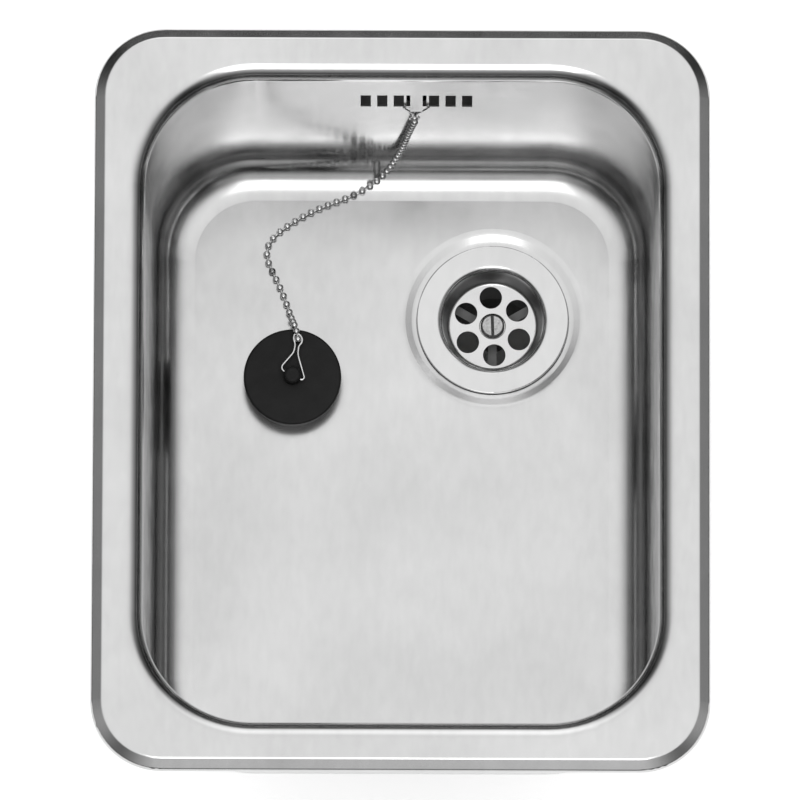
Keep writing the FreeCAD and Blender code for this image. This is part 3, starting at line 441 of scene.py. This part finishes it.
thread_steel, tree, shader, place = new_material("thread_steel", (0.6, 0.61, 0.62), 0.35, 1.0)
zinc = add_noise(tree, place, per_metre=300.0, detail=3.0)
tint(tree, zinc, (0.5, 0.51, 0.52), (0.66, 0.67, 0.68), shader)
vary_polish(tree, add_noise(tree, place, per_metre=700.0, detail=3.0), 0.26, 0.44, shader)

shank_radius = 2.5 * mm
shank_core = 2.1 * mm
shank_pitch = 0.8 * mm
head_radius = 4.5 * mm
head_height = 3.0 * mm
slot_depth = 1.6 * mm
slot_half = 0.6 * mm
neck_height = 3.6 * mm
screw_chamfer = 0.5 * mm
for number in range(1, 5):
    finish_node(f"clamp_bracket_{number}", clamp_steel)
    finish_node(f"clamp_claw_{number}", clamp_steel)
    screw_low, screw_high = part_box(f"clamp_screw_{number}")
    screw_axis = 0.5 * (screw_low + screw_high)
    head_top = screw_low.z + head_height
    slot_floor = screw_low.z + slot_depth
    neck_top = head_top + neck_height
    tip_foot = screw_high.z - screw_chamfer
    half_radius = head_radius - 0.03 * mm
    half_outline = [
        (slot_floor + 0.3 * mm, half_radius), (screw_low.z + screw_chamfer, half_radius),
        (screw_low.z, head_radius - screw_chamfer)]
    bar_outline = [
        (screw_high.z, shank_core - screw_chamfer), (tip_foot, shank_core),
        (neck_top + 0.4 * mm, shank_core), (neck_top, shank_radius), (head_top, shank_radius),
        (head_top, head_radius - 0.2 * mm), (head_top - 0.2 * mm, head_radius), (slot_floor, head_radius)]
    clamp_screw = join_shells(f"threaded_screw_{number}", [
        turn_bar(screw_axis, bar_outline, around=24),
        wind_thread(screw_axis, neck_top, tip_foot, shank_core, shank_radius, shank_pitch, around=16),
        head_half(screw_axis, half_outline, slot_half, side=1, steps=16),
        head_half(screw_axis, half_outline, slot_half, side=-1, steps=16),
    ], thread_steel)
    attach(clamp_screw, f"clamp_screw_{number}")
    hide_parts(f"clamp_screw_{number}")


# The plug is a solid moulded black rubber stopper with a lug on top for its wire clip. It lies loose on
# the bowl's floor.

plug_rubber, tree, shader, place = new_material("plug_rubber", (0.009, 0.009, 0.009), 0.55, 0.0)
shader.inputs["Specular IOR Level"].default_value = 0.22
bloom = add_noise(tree, place, per_metre=150.0, detail=4.0)
tint(tree, bloom, (0.007, 0.007, 0.007), (0.012, 0.012, 0.012), shader)
emboss(tree, add_noise(tree, place, per_metre=700.0, detail=3.0), 0.03 * mm, shader)
finish_node("plug", plug_rubber)


# Two bent wire clips of bright plated steel end the chain: one hooks over the overflow's strap, one
# through the plug's lug.

clip_wire, tree, shader, place = new_material("clip_wire", (0.68, 0.68, 0.68), 0.18, 1.0)
vary_polish(tree, add_noise(tree, place, per_metre=600.0, detail=3.0), 0.12, 0.28, shader)
plating = add_noise(tree, place, per_metre=300.0, detail=2.0)
tint(tree, plating, (0.6, 0.6, 0.6), (0.74, 0.74, 0.74), shader)
finish_node("plug_clip", clip_wire)
finish_node("wall_clip", clip_wire)


# The chain is a plated ball chain: hollow balls on short wire links, from the wall clip's eye down the
# back wall, across the floor and up to the plug clip's eye.

ball_radius = 1.65 * mm
ball_pitch = 4.3 * mm
link_radius = 0.45 * mm
landing_run = 92.0 * mm
tail_run = 40.0 * mm
lay = 1.85
chain_route = np.array([
    (5.6, 144.9, 83.2), (3.0, 144.6, 65.0), (0.6, 143.6, 44.0), (-2.8, 142.2, 24.0), (-8.0, 138.4, 9.0),
    (-15.7, 132.9, 3.0), (-26.5, 128.5, lay), (-39.5, 123.6, lay), (-52.0, 116.4, lay), (-59.8, 110.0, lay),
    (-62.6, 104.4, lay), (-61.9, 98.4, lay), (-58.8, 92.0, lay), (-55.4, 84.6, lay), (-52.6, 77.0, lay),
    (-51.2, 72.4, 3.6), (-50.2, 68.6, 8.0), (-49.4, 66.2, 12.6), (-48.5, 62.7, 14.4),
]) * mm + np.array([0.0, 0.0, bowl_floor])
wall_eye = np.array([5.6, 145.95, -56.86]) * mm
plug_eye = np.array([-47.7, 59.05, -129.4]) * mm

chain_curve = bpy.data.curves.new("chain_line", "CURVE")
chain_curve.dimensions = "3D"
chain_curve.resolution_u = 24
chain_spline = chain_curve.splines.new("NURBS")
chain_spline.points.add(len(chain_route) - 1)
chain_spline.points.foreach_set("co", np.column_stack([chain_route, np.ones(len(chain_route))]).ravel())
chain_spline.order_u = 3
chain_spline.use_endpoint_u = True
chain_holder = bpy.data.objects.new("chain_line", chain_curve)
chain_mesh = bpy.data.meshes.new_from_object(chain_holder)
chain_line = np.zeros(3 * len(chain_mesh.vertices))
chain_mesh.vertices.foreach_get("co", chain_line)
chain_line = chain_line.reshape(-1, 3)
bpy.data.objects.remove(chain_holder)
bpy.data.meshes.remove(chain_mesh)
chain_run = np.concatenate([[0.0], np.cumsum(np.linalg.norm(np.diff(chain_line, axis=0), axis=1))])


def along_chain(runs):
    """Points of the chain's centreline at these lengths from its top end."""
    return np.column_stack([np.interp(runs, chain_run, chain_line[:, axis]) for axis in range(3)])


def ball_shell(centres, radius, around, rings):
    """Spheres as grids of latitude by longitude: every centre plus radius times a unit direction."""
    tilt = np.linspace(0.0, np.pi, rings + 1)[1:-1]
    turn = np.linspace(0.0, 2.0 * np.pi, around, endpoint=False)
    body = np.stack([
        np.outer(np.sin(tilt), np.cos(turn)), np.outer(np.sin(tilt), np.sin(turn)),
        np.outer(np.cos(tilt), np.ones(around)),
    ], axis=-1).reshape(-1, 3)
    unit = np.vstack([[(0.0, 0.0, 1.0)], body, [(0.0, 0.0, -1.0)]])
    points = centres[:, None, :] + radius * unit[None, :, :]
    column = np.arange(around)
    following = (column + 1) % around
    first = 1 + np.arange(rings - 2)[:, None] * around
    quads = np.stack([
        first + column, first + around + column, first + around + following, first + following], axis=-1)
    top = np.stack([np.zeros(around, int), 1 + column, 1 + following], axis=-1)
    last = len(unit) - 1
    bottom = np.stack([np.full(around, last), last - around + following, last - around + column], axis=-1)
    base = (np.arange(len(centres)) * len(unit))[:, None, None]
    faces = (base + quads.reshape(-1, 4)).reshape(-1, 4).tolist()
    faces += (base + np.vstack([top, bottom])).reshape(-1, 3).tolist()
    owner = np.repeat(np.arange(len(centres)), len(unit))
    return points.reshape(-1, 3), faces, owner


def link_rods(starts, ends, radius, around):
    """Rods from each start to each end: a circle square to the rod at either end, lofted and capped."""
    axis = (ends - starts) / np.linalg.norm(ends - starts, axis=1, keepdims=True)
    aslant = (0.31, 0.52, 0.79)
    across = np.cross(axis, aslant)
    across /= np.linalg.norm(across, axis=1, keepdims=True)
    other = np.cross(axis, across)
    turn = np.linspace(0.0, 2.0 * np.pi, around, endpoint=False)
    ring = radius * (np.cos(turn)[:, None] * across[:, None, :] + np.sin(turn)[:, None] * other[:, None, :])
    points = np.concatenate([ends[:, None, :] + ring, starts[:, None, :] + ring], axis=1)
    rod_faces = loft_faces(2, around)
    faces = [
        [2 * around * rod + corner for corner in face] for rod in range(len(starts)) for face in rod_faces]
    owner = np.arange(len(starts))[:, None] + np.repeat([1, 0], around)[None, :]
    return points.reshape(-1, 3), faces, owner.ravel()


def chain_length(name, centres, bodies, start, end):
    """A length of chain that bends between two bodies. Each ball takes one share of the bend, so that it
    stays round, and a link takes the shares of the balls it joins."""
    balls, ball_faces, ball_owner = ball_shell(centres, ball_radius, around=16, rings=9)
    rods, rod_faces, rod_owner = link_rods(centres[:-1], centres[1:], link_radius, around=8)
    rod_faces = [[len(balls) + corner for corner in face] for face in rod_faces]
    mesh = bpy.data.meshes.new(name)
    mesh.from_pydata(np.vstack([balls, rods]).tolist(), [], ball_faces + rod_faces)
    mesh.shade_smooth()
    mesh.materials.append(chain_metal)
    piece = bpy.data.objects.new(name, mesh)
    bpy.context.scene.collection.objects.link(piece)
    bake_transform(piece, bodies[0], bodies[1], start, end)
    share = np.zeros(len(mesh.vertices), np.float32)
    mesh.attributes["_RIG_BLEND"].data.foreach_get("value", share)
    mean = np.bincount(ball_owner, share[:len(balls)]) / np.bincount(ball_owner)
    owner = np.concatenate([ball_owner, rod_owner])
    mesh.attributes["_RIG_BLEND"].data.foreach_set("value", mean[owner].astype(np.float32))
    return piece


chain_metal, tree, shader, place = new_material("chain_metal", (0.58, 0.58, 0.58), 0.2, 1.0)
vary_polish(tree, add_noise(tree, place, per_metre=400.0, detail=3.0), 0.14, 0.3, shader)
plating = add_noise(tree, place, per_metre=250.0, detail=2.0)
tint(tree, plating, (0.5, 0.5, 0.5), (0.66, 0.66, 0.66), shader)

chain_total = chain_run[-1]
ball_runs = np.linspace(0.0, chain_total, round(chain_total / ball_pitch) + 1)
ball_centres = along_chain(ball_runs)
landing = int(np.searchsorted(ball_runs, landing_run))
parting = int(np.searchsorted(ball_runs, chain_total - tail_run))

chain_head = chain_length(
    "ball_chain_head", np.vstack([wall_eye, ball_centres[:landing + 1]]), ("wall_clip", "sink"),
    wall_eye, ball_centres[landing])
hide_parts("chain_hanging")
chain_middle = chain_length(
    "ball_chain_middle", ball_centres[landing:parting + 1], ("sink", "plug"),
    ball_centres[landing], ball_centres[parting])
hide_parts("chain_floor")
chain_tail = chain_length(
    "ball_chain_tail", np.vstack([ball_centres[parting:], plug_eye]), ("plug", "plug_clip"),
    ball_centres[parting], plug_eye)
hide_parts("chain_tail")


# The studio: a plain pale floor that isn't there from below and doesn't glow in a disc where the strainer's
# holes show it, a painted shadow under the outlet, a soft dome that is bright overhead, dark at the horizon
# and lighter low at the back, and one soft lamp high in front.

floor_level = cad_box[0][2] - 0.5 * mm
floor_half = 40.0
floor_glow = 0.45
shadow_spot_centre = (0.042, 0.086, floor_level)
shadow_spot_inner = 0.05
shadow_spot_outer = 0.1
floor_mesh = bpy.data.meshes.new("studio_floor")
floor_mesh.from_pydata(
    [(-floor_half, -floor_half, floor_level), (floor_half, -floor_half, floor_level),
     (floor_half, floor_half, floor_level), (-floor_half, floor_half, floor_level)], [], [(0, 1, 2, 3)])
studio_floor = bpy.data.objects.new("studio_floor", floor_mesh)
bpy.context.scene.collection.objects.link(studio_floor)
floor_paint, tree, shader, place = new_material("floor_paint", (0.9, 0.9, 0.9), 0.9, 0.0)
shader.inputs["Specular IOR Level"].default_value = 0.0
ray = tree.nodes.new("ShaderNodeLightPath")
seen = sum_node(tree, "MAXIMUM", ray.outputs["Is Camera Ray"], ray.outputs["Is Glossy Ray"])
seen = sum_node(tree, "MAXIMUM", seen, ray.outputs["Is Transmission Ray"])
# Painted shadow: the floor's glow is left off in a disc round the spot that the strainer's holes look down
# on.
off_shadow_spot = tree.nodes.new("ShaderNodeVectorMath")
off_shadow_spot.operation = "DISTANCE"
off_shadow_spot.inputs[1].default_value = shadow_spot_centre
tree.links.new(place, off_shadow_spot.inputs[0])
glow_outside_shadow = map_range(tree, off_shadow_spot.outputs["Value"], shadow_spot_inner, shadow_spot_outer, 0.0, floor_glow)
shader.inputs["Emission Color"].default_value = (1.0, 1.0, 1.0, 1.0)
tree.links.new(sum_node(tree, "MULTIPLY", seen, glow_outside_shadow), shader.inputs["Emission Strength"])
facing = tree.nodes.new("ShaderNodeNewGeometry")
tree.links.new(sum_node(tree, "SUBTRACT", 1.0, facing.outputs["Backfacing"]), shader.inputs["Alpha"])
floor_mesh.materials.append(floor_paint)

dome_strength = 1.36
dome_levels = [
    (0.0, 0.03), (0.17, 0.08), (0.34, 0.25), (0.5, 0.42), (0.707, 0.70), (0.866, 0.86), (1.0, 0.92)]
corner_shade = 0.85
corner_top = 0.75
corner_foot = 0.5
back_glow = 0.7
back_edge = 0.5
back_heart = 0.8
glow_foot = 0.26
glow_top = 0.42
world = bpy.data.worlds.new("studio_dome")
bpy.context.scene.world = world
world.use_nodes = True
tree = world.node_tree
direction = tree.nodes.new("ShaderNodeTexCoord")
split = tree.nodes.new("ShaderNodeSeparateXYZ")
tree.links.new(direction.outputs["Generated"], split.inputs["Vector"])
dome = level_ramp(tree, split.outputs["Z"], dome_levels)
backwards = map_range(tree, split.outputs["Y"], back_edge, back_heart, 0.0, back_glow)
above = map_range(tree, split.outputs["Z"], glow_foot, glow_top, 0.0, 1.0)
dome = sum_node(tree, "ADD", dome, sum_node(tree, "MULTIPLY", backwards, above))
across = sum_node(tree, "MULTIPLY", split.outputs["X"], split.outputs["X"])
along = sum_node(tree, "MULTIPLY", split.outputs["Y"], split.outputs["Y"])
spread = sum_node(tree, "MAXIMUM", sum_node(tree, "ADD", across, along), 0.0001)
card = sum_node(tree, "DIVIDE", sum_node(tree, "SUBTRACT", across, along), spread)
card = sum_node(tree, "MULTIPLY", card, card)
low_down = map_range(tree, split.outputs["Z"], corner_top, corner_foot, 0.0, corner_shade)
corner = sum_node(tree, "MULTIPLY", low_down, sum_node(tree, "SUBTRACT", 1.0, card))
shade = sum_node(tree, "SUBTRACT", 1.0, corner)
background = tree.nodes["Background"]
tree.links.new(multiply_colours(tree, dome, shade), background.inputs["Color"])
background.inputs["Strength"].default_value = dome_strength

lamp_reach = 1.6
lamp_lean = math.radians(34.5)
lamp_width = 0.68
lamp_height = 0.95
lamp_level = 1.9
lamp_data = bpy.data.lights.new("front_lamp", "AREA")
lamp_data.shape = "RECTANGLE"
lamp_data.size = lamp_width
lamp_data.size_y = lamp_height
lamp_data.energy = lamp_level * math.pi * lamp_width * lamp_height
front_lamp = bpy.data.objects.new("front_lamp", lamp_data)
front_lamp.matrix_world = (
    Matrix.Translation((0.0, -lamp_reach * math.sin(lamp_lean), lamp_reach * math.cos(lamp_lean)))
    @ Matrix.Rotation(lamp_lean, 4, "X"))
bpy.context.scene.collection.objects.link(front_lamp)
bpy.context.scene.view_settings.view_transform = "Standard"


# The camera looks almost straight down from far off, leaning a little from the front, so that the back
# wall shows and the front wall doesn't.

camera_lean = math.radians(13.2)
camera_roll = math.radians(0.2)
camera_reach = 8.5
image_width = 800.0
pixels_per_metre = 2209.0
aim = Vector((-0.63, -1.53, 6.4)) * mm
camera_data = bpy.data.cameras.new("camera")
camera_data.sensor_width = 36.0
camera_data.lens = camera_data.sensor_width * pixels_per_metre * camera_reach / image_width
camera = bpy.data.objects.new("camera", camera_data)
camera.matrix_world = (
    Matrix.Translation(aim) @ Matrix.Rotation(camera_lean, 4, "X")
    @ Matrix.Translation((0.0, 0.0, camera_reach)) @ Matrix.Rotation(camera_roll, 4, "Z"))
bpy.context.scene.collection.objects.link(camera)
bpy.context.scene.camera = camera
